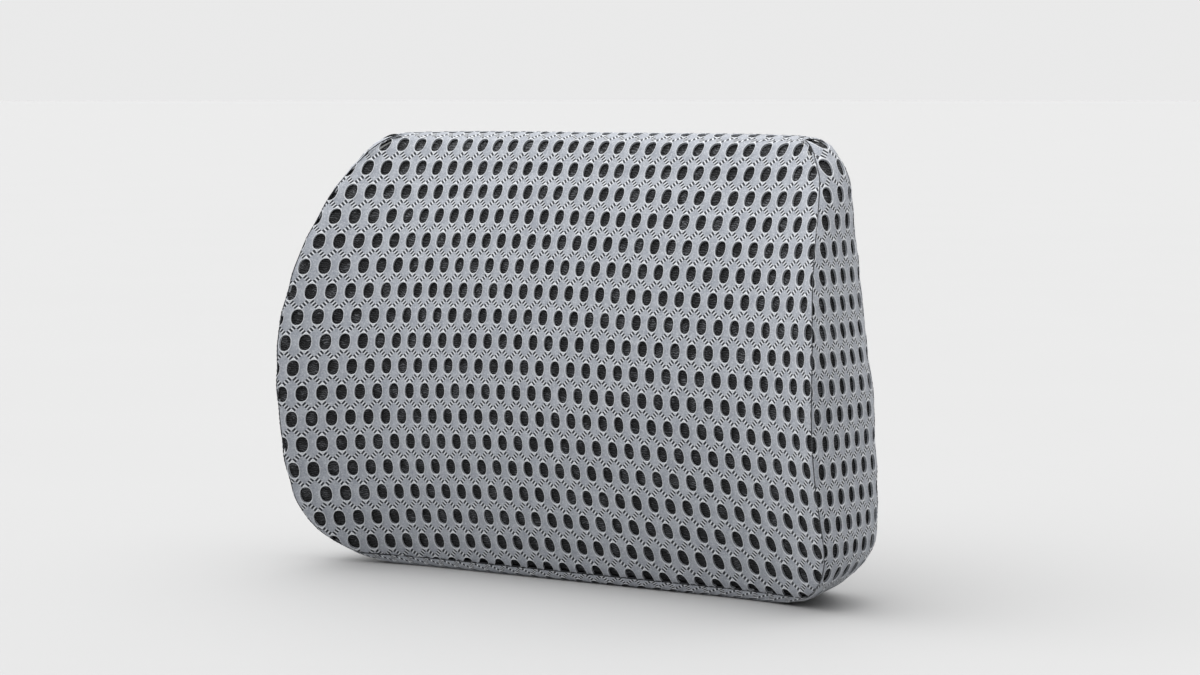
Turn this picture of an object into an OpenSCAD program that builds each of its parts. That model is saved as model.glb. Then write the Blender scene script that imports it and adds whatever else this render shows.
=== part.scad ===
// Lumbar support cushion: a moulded foam core in a sewn liner, inside a zipped cover of
// spacer mesh, with an elastic strap and a side-release buckle across the back.
// The cushion stands on its lower edge. +Z is up, the face that meets the user's back
// looks along -Y, and the origin is under the middle of the whole object.

/* [Cushion] */
// Overall width of the cushion
cushion_w = 410; // [400:2:420]
// Overall height of the cushion
cushion_h = 294; // [288:2:300]
// Height at which the front stands furthest forward
belly_z = 132; // [120:2:140]
// Radius of the front above the belly, seen from the side
upper_front_r = 226; // [215:1:240]
// Radius of the front below the belly, seen from the side
lower_front_r = 240; // [225:1:260]
// Distance from the middle to where each side wing starts
wing_start = 112; // [100:2:120]
// How far each wing comes forward at half height
wing_depth = 25; // [20:1:28]
// How much less it comes forward at the top and bottom
wing_fade = 5; // [3:1:7]
// Width of each rounded upper corner
upper_corner_w = 44; // [38:1:48]
// Height of each rounded upper corner
upper_corner_h = 155; // [140:5:165]
// Radius of each lower corner
lower_corner_r = 52; // [46:1:58]

/* [Back] */
// Depth of the flat middle of the back, measured from the belly
back_depth = 100; // [96:1:104]
// How far the top of the back leans forward
back_lean = 12; // [8:1:14]
// Height above which the back leans forward
back_lean_z = 130; // [128:1:140]
// Half width of the flat middle of the back
back_flat_x = 135; // [132:1:140]

/* [Layers] */
// Thickness of the spacer mesh cover
cover_t = 3; // [2.5:0.1:3]
// Thickness of the inner liner
liner_t = 0.7; // [0.5:0.1:0.7]
// Height of the seam between the side panels and the bottom panel
bottom_seam_z = 6; // [5:0.5:7]
// Radius of the sewing thread bead along the seams
thread_r = 0.6; // [0.4:0.1:0.7]

/* [Zipper] */
// Height of the zipper on the back
zipper_z = 42; // [40:1:46]
// Half length of the tooth rows
zipper_half = 130; // [124:1:130]
// Half height of the opening between the two back panels
zipper_gap = 5.5; // [5.4:0.1:6]
// Distance from one tooth to the next
tooth_pitch = 2.5; // [2:0.5:4]

/* [Strap and buckle] */
// Height of the middle of the strap
strap_z = 106; // [100:1:108]
// Width of the elastic webbing
strap_w = 38; // [34:1:38]
// Thickness of the elastic webbing
strap_t = 1.2; // [1:0.1:1.2]
// Distance from the middle to the adjuster
adjuster_x = 96; // [90:1:100]

/* [Hidden] */
$fn = 48;

half_w = cushion_w / 2;
// Radii of the rolled edges along the top and the bottom
top_roll = 8;
front_bottom_roll = 6;
back_bottom_roll = 8;
// Gap left between neighbouring layers and between panels at a seam
layer_gap = 0.3;
// Height where the front panel, folded over the top, meets the back panel
wrap_z = cushion_h - 14;
// Distance over which the layers move up or down near the two ends
end_zone = 30;
// Columns across the front and the back, and columns across each side
front_cols = 20;
side_cols = 3;
// The whole object reaches from the wing tips to the buckle, so this centres it on Y
mid_depth = 41.4;

// --- the shape of the cushion -------------------------------------------------------

function sq(v) = v * v;
function clip(v) = min(1, max(0, v));
function mix(a, b, t) = a + (b - a) * t;
function quarter(r, t) = r * (1 - sqrt(1 - sq(clip(t))));
function end_ratio(z) = 2 * z / cushion_h - 1;

// Half width of the outline at a height
function side_x(z) = half_w
    - quarter(upper_corner_w, 1 - (cushion_h - z) / upper_corner_h)
    - quarter(lower_corner_r, 1 - z / lower_corner_r);

// Front surface before its edges are rolled
function belly_curve(z) = sq(z - belly_z) / (2 * (z > belly_z ? upper_front_r : lower_front_r));
function wing(z) = wing_depth - wing_fade * sq(end_ratio(z));
function front_base(x, z) = belly_curve(z)
    - wing(z) * sq(clip((abs(x) - wing_start) / (half_w - wing_start)));

// Back surface before its edges are rolled
function back_edge(z) = 52.5 - 8 * end_ratio(z) + 14 * sq(end_ratio(z));
function back_middle(z) = back_depth
    - back_lean * sq(max(0, (z - back_lean_z) / (cushion_h - back_lean_z)));
function back_base(x, z) = mix(back_middle(z), min(back_edge(z), back_middle(z) - 4),
    pow(clip((abs(x) - back_flat_x) / (side_x(z) - back_flat_x)), 2.2));

// How much longer a step along Y is than the same step square to the surface
function slope(a, b, c, d) = sqrt(1 + sq(a - b) + sq(c - d));
function front_slope(x, z) = slope(front_base(x + 0.5, z), front_base(x - 0.5, z),
    front_base(x, z + 0.5), front_base(x, z - 0.5));
function back_slope(x, z) = slope(back_base(abs(x), z), back_base(abs(x) - 1, z),
    back_base(x, z + 0.5), back_base(x, z - 0.5));

// Height and rolls of a layer that lies d inside the outer surface
function layer_z(z, d) = z + d * (clip(1 - z / end_zone) - clip(1 - (cushion_h - z) / end_zone));
function roll_at(z, d, low_r) = let (top = cushion_h - d, top_r = max(2, top_roll - d),
        r = max(2, low_r - d))
    quarter(top_r, (z - top + top_r) / top_r) + quarter(r, (d + r - z) / r);

// Points of a layer: u runs from -1 at the left to 1 at the right
function front_point(u, z, d) = let (x = u * (side_x(z) - d), h = layer_z(z, d))
    [x, front_base(x, h) + d * front_slope(x, h) + roll_at(h, d, front_bottom_roll), h];
function back_point(u, z, d) = let (x = u * (side_x(z) - d), h = layer_z(z, d))
    [x, back_base(x, h) - d * back_slope(x, h) - roll_at(h, d, back_bottom_roll), h];
// v runs from 0 at the front seam to 1 at the back seam
function side_point(side, v, z, d) = mix(front_point(side, z, d), back_point(side, z, d), v);

// --- heights of the rows of points --------------------------------------------------

zip_low = zipper_z - zipper_gap;
zip_high = zipper_z + zipper_gap;
roll_start = cushion_h - top_roll;
low_rows = [bottom_seam_z + layer_gap, 14, 24, zip_low];
high_rows = [for (i = [0:10]) mix(zip_high, wrap_z, i / 10)];
top_rows = [for (a = [0, 35, 65, 90]) roll_start + top_roll * sin(a)];
tray_rows = [0, 2, bottom_seam_z];
panel_rows = concat(low_rows, high_rows, top_rows);
body_rows = concat(tray_rows, [14, 24, zip_low], high_rows, top_rows);

// --- solids from grids of points ----------------------------------------------------

function flat_list(rows) = [for (row = rows) each row];
function cells(rows, cols, first, flip) = [for (r = [0:rows - 2], c = [0:cols - 2])
    let (a = first + r * cols + c, b = a + 1, k = a + cols, l = k + 1)
    each flip ? [[a, b, l], [a, l, k]] : [[a, k, l], [a, l, b]]];
function rim(near, far) = [for (i = [0:len(near) - 2])
    each [[near[i], far[i + 1], far[i]], [near[i], near[i + 1], far[i + 1]]]];

// A closed sheet between two grids. Seen from the side of the first grid, its rows run
// upwards and its columns run to the right.
module sheet(outer, inner) {
    rows = len(outer);
    cols = len(outer[0]);
    size = rows * cols;
    edge = concat([for (c = [0:cols - 1]) c],
        [for (r = [1:rows - 1]) r * cols + cols - 1],
        [for (c = [1:cols - 1]) rows * cols - 1 - c],
        [for (r = [1:rows - 1]) (rows - 1 - r) * cols]);
    polyhedron(points = concat(flat_list(outer), flat_list(inner)),
        faces = concat(cells(rows, cols, 0, false), cells(rows, cols, size, true),
            rim(edge, [for (i = edge) i + size])));
}

// All the points round the cushion at one height
function around(z, d) = concat(
    [for (i = [0:front_cols]) front_point(mix(-1, 1, i / front_cols), z, d)],
    [for (i = [1:side_cols - 1]) side_point(1, i / side_cols, z, d)],
    [for (i = [0:front_cols]) back_point(mix(1, -1, i / front_cols), z, d)],
    [for (i = [1:side_cols - 1]) side_point(-1, 1 - i / side_cols, z, d)]);
around_n = 2 * (front_cols + side_cols);
function band(r, n) = [for (c = [0:n - 1])
    let (a = r * n + c, b = r * n + (c + 1) % n, k = a + n, l = b + n)
    each [[a, k, l], [a, l, b]]];
function cap(n) = [[for (c = [0:n - 1]) c]];
// A cap for the rings of around(): a ladder from front to back with a fan at each end
function ladder_cap() = let (f = front_cols, far = 2 * f + side_cols)
    concat([for (i = [1:f - 2]) each [[i, i + 1, far - i - 1], [i, far - i - 1, far - i]]],
        [for (i = [f - 1:f + side_cols - 1]) [far - f + 1, i, i + 1]],
        [for (i = [0:side_cols - 1]) [far - 1, far + i, (far + i + 1) % around_n]],
        [[far - 1, 0, 1]]);
function moved(faces, by) = [for (face = faces) [for (i = [len(face) - 1:-1:0]) face[i] + by]];

// A closed body from rings of points, lowest ring first, with the faces that close a ring
module stack(rings, ends) {
    n = len(rings[0]);
    polyhedron(points = flat_list(rings),
        faces = concat(ends, [for (r = [0:len(rings) - 2]) each band(r, n)],
            moved(ends, (len(rings) - 1) * n)));
}

// A round bead along a path whose steps never run along Y
function unit(v) = v / norm(v);
module bead(path, r, sides) {
    last = len(path) - 1;
    rings = [for (i = [0:last])
        let (t = unit(path[min(last, i + 1)] - path[max(0, i - 1)]),
            across = unit(cross([0, 1, 0], t)), up = cross(t, across))
        [for (k = [0:sides - 1]) path[i] + r * (cos(360 * k / sides) * across
            + sin(360 * k / sides) * up)]];
    stack(rings, cap(sides));
}

module centred() {
    translate([0, -mid_depth, 0])
        children();
}

// --- foam and liner -----------------------------------------------------------------

liner_in = cover_t + layer_gap;
foam_in = liner_in + liner_t + layer_gap;
us = [for (i = [0:front_cols]) mix(-1, 1, i / front_cols)];
// The same columns with the two end ones drawn in, so that a seam gap is left
seam_us = [for (u = us) u * (1 - layer_gap / half_w)];

module foam_core() {
    color("khaki")
        centred()
            stack([for (z = body_rows) around(z, foam_in)], ladder_cap());
}

// The front piece of the liner wraps under the bottom and over the top
function liner_front_grid(d) = concat(
    [[for (u = seam_us) back_point(u, 0, d)]],
    [for (z = body_rows) [for (u = seam_us) front_point(u, z, d)]],
    [[for (u = seam_us) back_point(u, cushion_h, d)]]);

module liner_front() {
    color("whitesmoke")
        centred()
            sheet(liner_front_grid(liner_in), liner_front_grid(liner_in + liner_t));
}

// The back piece of the liner carries the two sides
side_vs = [for (i = [0:side_cols - 1]) i / side_cols + (i == 0 ? 0.006 : 0)];
function liner_back_grid(d) = [for (z = concat([0.5], [for (z = body_rows) if (z > 1 && z < cushion_h - 0.1) z],
        [cushion_h - 0.5])) concat(
    [for (v = side_vs) side_point(1, v, z, d)],
    [for (u = us) back_point(-u, z, d)],
    [for (i = [1:side_cols]) side_point(-1, 1 - i / side_cols + (i == side_cols ? 0.006 : 0), z, d)])];

module liner_back() {
    color("white")
        centred()
            sheet(liner_back_grid(liner_in), liner_back_grid(liner_in + liner_t));
}

// --- cover panels -------------------------------------------------------------------

mesh_colour = "slategray";

// The front panel folds over the top edge and ends a little way down the back
fold_rows = [for (z = [cushion_h, top_rows[2], top_rows[1], wrap_z + layer_gap]) z];
function cover_front_grid(d) = concat(
    [for (z = panel_rows) [for (u = seam_us) front_point(u, z, d)]],
    [for (z = fold_rows) [for (u = seam_us) back_point(u, z, d)]]);

module cover_front() {
    color(mesh_colour)
        centred()
            sheet(cover_front_grid(0), cover_front_grid(cover_t));
}

// Rows of a side panel stop just short of the top, where the front panel folds over
side_rows = [for (z = panel_rows) min(z, cushion_h - 0.4)];
vs = [for (i = [0:side_cols]) mix(0.006, 0.994, i / side_cols)];
function cover_side_grid(d) = [for (z = side_rows) [for (v = vs) side_point(1, v, z, d)]];

module cover_side() {
    color(mesh_colour)
        centred()
            sheet(cover_side_grid(0), cover_side_grid(cover_t));
}

module cover_side_left() {
    mirror([1, 0, 0])
        cover_side();
}

module cover_side_right() {
    cover_side();
}

// The bottom panel is a shallow tray that turns up to the seam all round
module cover_bottom() {
    outer = [for (z = tray_rows) around(z, 0)];
    inner = [for (z = [bottom_seam_z, 2, 0]) around(z, cover_t)];
    color(mesh_colour)
        centred()
            stack(concat(outer, inner), ladder_cap());
}

// The two back panels lie on either side of the zipper
back_us = [for (u = seam_us) -u];
function cover_back_grid(rows, d) = [for (z = rows) [for (u = back_us) back_point(u, z, d)]];

module cover_back_upper() {
    rows = [for (z = high_rows) min(z, wrap_z - layer_gap)];
    color(mesh_colour)
        centred()
            sheet(cover_back_grid(rows, 0), cover_back_grid(rows, cover_t));
}

module cover_back_lower() {
    color(mesh_colour)
        centred()
            sheet(cover_back_grid(low_rows, 0), cover_back_grid(low_rows, cover_t));
}

// --- seam threads -------------------------------------------------------------------

thread_sides = 5;
function reversed(list) = [for (i = [len(list) - 1:-1:0]) list[i]];
down_rows = reversed(panel_rows);
// Each bead stands just off the corner of the two panels that it joins
off = 0.7 * (thread_r + 0.3);
front_thread_path = concat(
    [for (z = reversed(fold_rows)) back_point(-1, z, 0) + [-off, off, 0.2]],
    [for (z = down_rows) front_point(-1, z, 0) + [-off, -off, 0]],
    [for (u = seam_us) front_point(0.985 * u, bottom_seam_z, 0) + [0, -thread_r - 0.4, 0]],
    [for (z = panel_rows) front_point(1, z, 0) + [off, -off, 0]],
    [for (z = fold_rows) back_point(1, z, 0) + [off, off, 0.2]]);
back_down_rows = [for (z = down_rows) if (z < wrap_z - 2) z];
back_thread_path = concat(
    [for (z = back_down_rows) back_point(-1, z, 0) + [-off, off, 0]],
    [for (u = seam_us) back_point(0.985 * u, bottom_seam_z, 0) + [0, thread_r + 0.4, 0]],
    [for (z = reversed(back_down_rows)) back_point(1, z, 0) + [off, off, 0]],
    [for (u = back_us) back_point(0.985 * u, wrap_z, 0) + [0, thread_r + 0.4, 0]]);

module seam_thread_front() {
    color("dimgray")
        centred()
            bead(front_thread_path, thread_r, thread_sides);
}

module seam_thread_back() {
    color("dimgray")
        centred()
            bead(back_thread_path, thread_r, thread_sides);
}

// --- zipper -------------------------------------------------------------------------

// Levels of the zipper's layers, measured along Y from the outer face of the back
tape_y = -1.4;
tape_t = 0.5;
tooth_y = tape_y + tape_t;
tooth_t = 2;
tooth_out = 2.6;
tooth_root = 1.4;
tooth_in = 0.5;
tooth_rows_half = zipper_half - 2;
slider_rest_x = zipper_half - 9;

// Moves a child drawn in X, depth and height to the zipper on the back
module on_zipper() {
    translate([0, back_depth - mid_depth, zipper_z])
        children();
}

// Extrudes a flat outline, drawn in X and Z, along Y from y to y + t
module plate(y, t) {
    translate([0, y + t, 0])
        rotate([90, 0, 0])
            linear_extrude(t)
                children();
}

// Each tape fills its half of the opening, from one side seam to the other
module zipper_tape(side) {
    near = zipper_z + side * tooth_in;
    far = zipper_z + side * (zipper_gap - layer_gap);
    rows = [min(near, far), max(near, far)];
    color("dimgray")
        centred()
            sheet(cover_back_grid(rows, -tape_y - tape_t), cover_back_grid(rows, -tape_y));
}

module zipper_tape_upper() {
    zipper_tape(1);
}

module zipper_tape_lower() {
    zipper_tape(-1);
}

// A row of teeth is a comb: a spine with one tooth every pitch
tooth_count = floor(2 * tooth_rows_half / tooth_pitch);
tooth_w = 0.55 * tooth_pitch;
function tooth_points(i) = let (x = -tooth_rows_half + i * tooth_pitch)
    [[x, tooth_root], [x, tooth_in], [x + tooth_w, tooth_in], [x + tooth_w, tooth_root]];
comb = concat([for (i = [0:tooth_count - 1]) each tooth_points(i)],
    [[tooth_rows_half, tooth_root], [tooth_rows_half, tooth_out], [-tooth_rows_half, tooth_out]]);

module zipper_teeth(side) {
    color("black")
        on_zipper()
            plate(tooth_y, tooth_t)
                mirror([side > 0 ? 0 : 1, 0])
                    mirror([0, side > 0 ? 0 : 1])
                        polygon(comb);
}

module zipper_teeth_upper() {
    zipper_teeth(1);
}

module zipper_teeth_lower() {
    zipper_teeth(-1);
}

// Two crimped stops at the closed end and one across both rows at the open end
stop_l = 3;
module zipper_stops() {
    color("dimgray")
        on_zipper()
            plate(tooth_y, tooth_t + 0.3) {
                translate([tooth_rows_half + 0.4, 0.6])
                    square([stop_l, 2.4]);
                translate([tooth_rows_half + 0.4, -3])
                    square([stop_l, 2.4]);
                translate([-tooth_rows_half - 0.4 - stop_l, -3])
                    square([stop_l, 6]);
            }
}

// The slider has two plates joined by a thin web that runs between the rows of teeth
plate_t = 1.2;
top_plate_y = tooth_y + tooth_t + 0.3;
low_plate_y = tape_y - 0.3 - plate_t + 0.1;
pin_y = top_plate_y + plate_t + 1.5;
pin_r = 0.6;
lug_in = 2.1;
lug_out = 3.1;
slider_outline = [[-5.5, -3.6], [1, -4.2], [5.5, -3.4], [5.5, 3.4], [1, 4.2], [-5.5, 3.6]];

module zipper_slider() {
    color("darkslategray")
        on_zipper()
            translate([slider_rest_x, 0, 0]) {
                plate(top_plate_y, plate_t)
                    polygon(slider_outline);
                plate(low_plate_y, plate_t - 0.1)
                    polygon(slider_outline);
                plate(low_plate_y + 0.5, top_plate_y - low_plate_y)
                    translate([2.5, -0.3])
                        square([2.8, 0.6]);
                for (s = [-1, 1]) {
                    plate(tooth_y + 0.4, top_plate_y - tooth_y)
                        translate([-5, s * 3.4 - 0.4])
                            square([10, 0.8]);
                    plate(top_plate_y + 0.5, pin_y - top_plate_y + 0.6)
                        translate([-1.5, s * (lug_in + lug_out) / 2 - (lug_out - lug_in) / 2])
                            square([3, lug_out - lug_in]);
                }
                translate([0, pin_y, -lug_out + 0.2])
                    cylinder(r = pin_r, h = 2 * lug_out - 0.4);
            }
}

// The pull lies along the closed zipper and swings up and over on the slider's pin
eye_r = 1.3;
pull_l = 30;
module zipper_pull() {
    color("black")
        on_zipper()
            translate([slider_rest_x, pin_y, 0])
                difference() {
                    union() {
                        translate([0, 0, -1.9])
                            cylinder(r = eye_r, h = 3.8);
                        plate(-0.6, 1.2)
                            translate([-9, -1.9])
                                square([9, 3.8]);
                        plate(-0.8, 1.6)
                            polygon([[-pull_l, -3.2], [-pull_l + 1.5, -4], [-9, -3], [-7, -1.9],
                                [-7, 1.9], [-9, 3], [-pull_l + 1.5, 4], [-pull_l, 3.2]]);
                    }
                    translate([0, 0, -2])
                        cylinder(r = pin_r + 0.08, h = 4);
                    plate(-1, 2)
                        translate([-pull_l + 4, -1.5])
                            square([9, 3]);
                }
}

// --- strap --------------------------------------------------------------------------

// The strap's middle line, seen from above, is a list of points in X and Y. Near its
// sewn end it follows the back of the cushion at each height.
strap_gap = 0.5;
strap_lift = strap_gap + strap_t / 2;
buckle_bar_x = 36;
buckle_bar_y = back_depth + 4.6;
buckle_bar_r = 2;
loop_r = buckle_bar_r + 0.3 + strap_t / 2;
adjuster_bar_y = back_depth + 2.9;
adjuster_bar_r = 1.1;
adjuster_loop_r = adjuster_bar_r + 0.15 + strap_t / 2;
strap_rows = [for (k = [-1, 0, 1]) strap_z + k * strap_w / 2];

function sewn_run(z) = [for (i = [0:8])
    let (x = mix(side_x(z) - 1.5, back_flat_x - 6, i / 8))
    [x, back_base(x, z) + strap_lift * back_slope(x, z)]];
function arc_run(cx, cy, r, a0, a1, n) = [for (i = [0:n])
    [cx + r * cos(mix(a0, a1, i / n)), cy + r * sin(mix(a0, a1, i / n))]];
function raise(list) = [for (p = list) [p[0], back_depth + p[1]]];

// Left half, drawn as if on the right: to the plug's bar, round it and back on itself
function left_run(z) = concat(sewn_run(z),
    raise([[100, 1.1], [66, 1.1], [48, 1.1], [42, 1.3]]),
    arc_run(buckle_bar_x, buckle_bar_y, loop_r, 270, 90, 6),
    raise([[40, 6.6], [44, 3.6], [48, 2.6], [62, 2.6]]));

// Right half: through the adjuster over its middle bar, round the socket's bar, and
// back underneath to the adjuster's middle bar, where its end is sewn
function from_adjuster(list) = [for (p = list) [adjuster_x + p[0], back_depth + p[1]]];
function right_run(z) = concat(sewn_run(z),
    from_adjuster([[16, 1.1], [12, 1.1], [8.5, 1.9], [5.5, 3.9], [3, 5.6], [0, 6.2],
        [-3, 5.6], [-5.5, 4.2], [-7.5, 3.2], [-9.5, 2.9], [-12, 2.9]]),
    raise([[60, 2.9], [46, 2.9], [43, 3.8], [40, 6.2]]),
    arc_run(buckle_bar_x, buckle_bar_y, loop_r, 90, 270, 6),
    raise([[42, 1.3], [60, 1.3]]),
    from_adjuster([[-12, 1.3], [-4, 1.2]]),
    arc_run(adjuster_x, adjuster_bar_y, adjuster_loop_r, 270, 510, 8));

// One face of the webbing: the middle line moved sideways by half the thickness
function face(run, z, side, shift) = let (last = len(run) - 1) [for (i = [0:last])
    let (t = unit(run[min(last, i + 1)] - run[max(0, i - 1)]))
    [side * (run[i][0] + shift * t[1]), run[i][1] - shift * t[0], z]];

module strap_left() {
    color("gray")
        centred()
            sheet([for (z = strap_rows) face(left_run(z), z, -1, -strap_t / 2)],
                [for (z = strap_rows) face(left_run(z), z, -1, strap_t / 2)]);
}

module strap_right() {
    color("gray")
        centred()
            sheet([for (z = strap_rows) face(right_run(z), z, 1, strap_t / 2)],
                [for (z = strap_rows) face(right_run(z), z, 1, -strap_t / 2)]);
}

// --- adjuster and buckle ------------------------------------------------------------

// Moves a child drawn in X, depth and height to the strap's middle line on the back
module on_strap() {
    translate([0, back_depth - mid_depth, strap_z])
        children();
}

frame_in = strap_w / 2 + 1.5;
frame_out = frame_in + 3;

// A bar from one arm to the other, along Z
module cross_bar(x, y, r) {
    translate([x, y, -frame_in - 1])
        cylinder(r = r, h = 2 * frame_in + 2);
}

// Two arms, from x0 to x1, at the two edges of the webbing
module arms(x0, x1, y, t) {
    for (s = [-1, 1])
        plate(y, t)
            translate([x0, s > 0 ? frame_in : -frame_out])
                square([x1 - x0, frame_out - frame_in]);
}

// A plate with round corners, from x0 to x1
module round_plate(x0, x1, half_h, y, t, r) {
    plate(y, t) {
        translate([x0 + r, -half_h])
            square([x1 - x0 - 2 * r, 2 * half_h]);
        translate([x0, -half_h + r])
            square([x1 - x0, 2 * (half_h - r)]);
        for (x = [x0 + r, x1 - r], z = [-half_h + r, half_h - r])
            translate([x, z])
                circle(r);
    }
}

side_bar_out = 13.5;
side_bar_in = 10.5;
module strap_adjuster() {
    color("black")
        on_strap()
            translate([adjuster_x, 0, 0]) {
                difference() {
                    round_plate(-side_bar_out, side_bar_out, frame_out, 1.2, 4.6, 2.5);
                    plate(0, 10)
                        translate([-side_bar_in, -frame_in])
                            square([2 * side_bar_in, 2 * frame_in]);
                    plate(0, 3.8)
                        translate([-side_bar_out - 1, -frame_in])
                            square([2 * side_bar_out + 2, 2 * frame_in]);
                }
                cross_bar(0, adjuster_bar_y - back_depth, adjuster_bar_r);
            }
}

bar_y = buckle_bar_y - back_depth;
shell_y = 1.2;
shell_t = 7.6;
cavity_y = 2.7;
cavity_t = 4.6;
cavity_half = 19.2;
mouth_x = -5.5;
window_x0 = 7.1;
window_x1 = 17.5;

module buckle_socket() {
    color("black")
        on_strap() {
            difference() {
                round_plate(mouth_x, 26, frame_out, shell_y, shell_t, 2);
                plate(cavity_y, cavity_t)
                    translate([mouth_x - 1, -cavity_half])
                        square([23 - mouth_x, 2 * cavity_half]);
                plate(cavity_y, cavity_t)
                    translate([window_x0, -frame_out - 1])
                        square([window_x1 - window_x0, 2 * frame_out + 2]);
            }
            arms(25, buckle_bar_x + 3, bar_y - 2.6, 5.2);
            cross_bar(buckle_bar_x, bar_y, buckle_bar_r);
        }
}

tongue_y = 3.2;
tongue_t = 3.6;
knuckle_x = -8;
knuckle_z = 11;
knuckle_r = 2;
plug_face_x = -6;

module buckle_plug() {
    color("black")
        on_strap() {
            difference() {
                round_plate(-29, plug_face_x, frame_out - 1, shell_y + 0.2, shell_t - 0.4, 2);
                for (s = [-1, 1])
                    plate(tongue_y - 0.2, tongue_t + 0.4) {
                        translate([knuckle_x, s * knuckle_z])
                            circle(knuckle_r + 0.08);
                        translate([knuckle_x, s * knuckle_z - 1.95])
                            square([4, 3.9]);
                    }
            }
            plate(tongue_y, tongue_t)
                translate([plug_face_x - 1, -4.5])
                    square([23, 9]);
            arms(-buckle_bar_x - 3, -28, bar_y - 2.6, 5.2);
            cross_bar(-buckle_bar_x, bar_y, buckle_bar_r);
        }
}

// A sprung prong: a round knuckle in the plug, an arm, and a shoulder in the window
prong_outline = [[-8, 9.8], [-8, 12.2], [2, 15.2], [7.5, 17.6], [8.5, 22], [14, 21.4],
    [20, 15], [20, 12.2], [6, 12.4], [-2, 10.6]];

module buckle_prong(side) {
    color("black")
        on_strap()
            mirror([0, 0, side > 0 ? 0 : 1]) {
                plate(tongue_y, tongue_t)
                    polygon(prong_outline);
                translate([knuckle_x, tongue_y + tongue_t, knuckle_z])
                    rotate([90, 0, 0])
                        cylinder(r = knuckle_r, h = tongue_t);
            }
}

module buckle_prong_upper() {
    buckle_prong(1);
}

module buckle_prong_lower() {
    buckle_prong(-1);
}

foam_core();
liner_front();
liner_back();
cover_front();
cover_side_left();
cover_side_right();
cover_bottom();
cover_back_upper();
cover_back_lower();
seam_thread_front();
seam_thread_back();
zipper_tape_upper();
zipper_tape_lower();
zipper_teeth_upper();
zipper_teeth_lower();
zipper_stops();
zipper_slider();
zipper_pull();
strap_left();
strap_right();
strap_adjuster();
buckle_socket();
buckle_plug();
buckle_prong_upper();
buckle_prong_lower();
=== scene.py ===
"""Lumbar support cushion: a spacer-mesh cover over a foam core, with a strap, buckle and zipper."""

import math
import random

import bmesh
import bpy
import numpy as np
from mathutils import Matrix, Vector
from mathutils.bvhtree import BVHTree


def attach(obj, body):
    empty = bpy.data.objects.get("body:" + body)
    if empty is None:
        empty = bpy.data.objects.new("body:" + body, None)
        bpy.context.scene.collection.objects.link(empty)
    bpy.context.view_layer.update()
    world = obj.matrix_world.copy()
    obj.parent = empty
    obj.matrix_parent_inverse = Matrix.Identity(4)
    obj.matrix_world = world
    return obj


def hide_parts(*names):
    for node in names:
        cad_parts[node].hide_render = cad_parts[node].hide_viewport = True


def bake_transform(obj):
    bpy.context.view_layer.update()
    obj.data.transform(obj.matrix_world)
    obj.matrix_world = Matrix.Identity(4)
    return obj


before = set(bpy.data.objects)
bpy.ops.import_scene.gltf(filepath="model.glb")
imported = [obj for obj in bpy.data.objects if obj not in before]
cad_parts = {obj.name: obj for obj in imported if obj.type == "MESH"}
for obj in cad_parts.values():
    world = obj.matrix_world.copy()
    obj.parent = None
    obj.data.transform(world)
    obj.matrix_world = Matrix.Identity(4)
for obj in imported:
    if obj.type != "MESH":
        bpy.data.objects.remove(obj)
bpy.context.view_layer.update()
random.seed(7)
MM = 0.001

# --- camera ---
AZ, EL, DISTANCE = math.radians(32.2), math.radians(4.8), 1.94
LENS, SENSOR = 90.4, 36
# The shape's depth counts from its foremost line, and the frame's y = 0 lies this far behind it
DEPTH_SHIFT = 0.0414
AIM_ASIDE, AIM_HEIGHT = 0.0333, 0.1646
forward = Vector((-math.sin(AZ) * math.cos(EL), math.cos(AZ) * math.cos(EL), -math.sin(EL)))
right = Vector((math.cos(AZ), math.sin(AZ), 0))
up = right.cross(forward)
target = Vector((AIM_ASIDE * math.cos(AZ), AIM_ASIDE * math.sin(AZ) - DEPTH_SHIFT, AIM_HEIGHT))
camera = bpy.data.objects.new("camera", bpy.data.cameras.new("camera"))
camera.data.lens = LENS
camera.data.sensor_width = SENSOR
place = Matrix((right, up, -forward)).transposed().to_4x4()
place.translation = target - forward * DISTANCE
camera.matrix_world = place
bpy.context.collection.objects.link(camera)
bpy.context.scene.camera = camera

# --- the cushion's shape, in millimetres, as in the CAD model ---
W, H = 205.0, 294.0
BELLY_Z, UPPER_R, LOWER_R = 132.0, 226.0, 240.0
WING_START, WING_DEPTH, WING_FADE = 112.0, 25.0, 5.0
CORNER_W, CORNER_H, LOW_CORNER = 44.0, 155.0, 52.0
BACK, LEAN, LEAN_Z, FLAT_X = 100.0, 12.0, 130.0, 135.0
TOP_ROLL, FRONT_ROLL, BACK_ROLL = 8.0, 6.0, 8.0
SEAM_Z, WRAP_Z, ZIP_Z, ZIP_GAP = 6.0, 280.0, 42.0, 5.5
EDGE_DEPTH, EDGE_TILT, EDGE_FLARE, EDGE_DROP, BACK_POWER = 52.5, 8, 14, 4, 2.2
# Where the visible cover departs from the CAD shape: towards the top, at the waist, shoulder and foot
NARROWER, DEEPER, UPPER_Z, UPPER_SPAN = 2.9, 4.6, 150, 80
FULLER, WAIST_LOW, WAIST_RISE, WAIST_HIGH, WAIST_FALL = 5.0, 25, 50, 190, 70
SHOULDER_Z, SHOULDER_SPAN, ROUNDER, FOOT_Z = 225, 45, 9.0, 34


def clip(v):
    return np.clip(v, 0.0, 1.0)


def quarter(r, t):
    return r * (1 - np.sqrt(1 - clip(t) ** 2))


def side_x(z):
    return W - quarter(CORNER_W, 1 - (H - z) / CORNER_H) - quarter(LOW_CORNER, 1 - z / LOW_CORNER)


def smooth(t):
    t = clip(t)
    return t * t * (3 - 2 * t)


def toward_top(z):
    return smooth((z - UPPER_Z) / UPPER_SPAN)


def front_x(z):
    """Half width at the front seam, drawn in a little towards the top."""
    return side_x(z) - NARROWER * toward_top(z)


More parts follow.
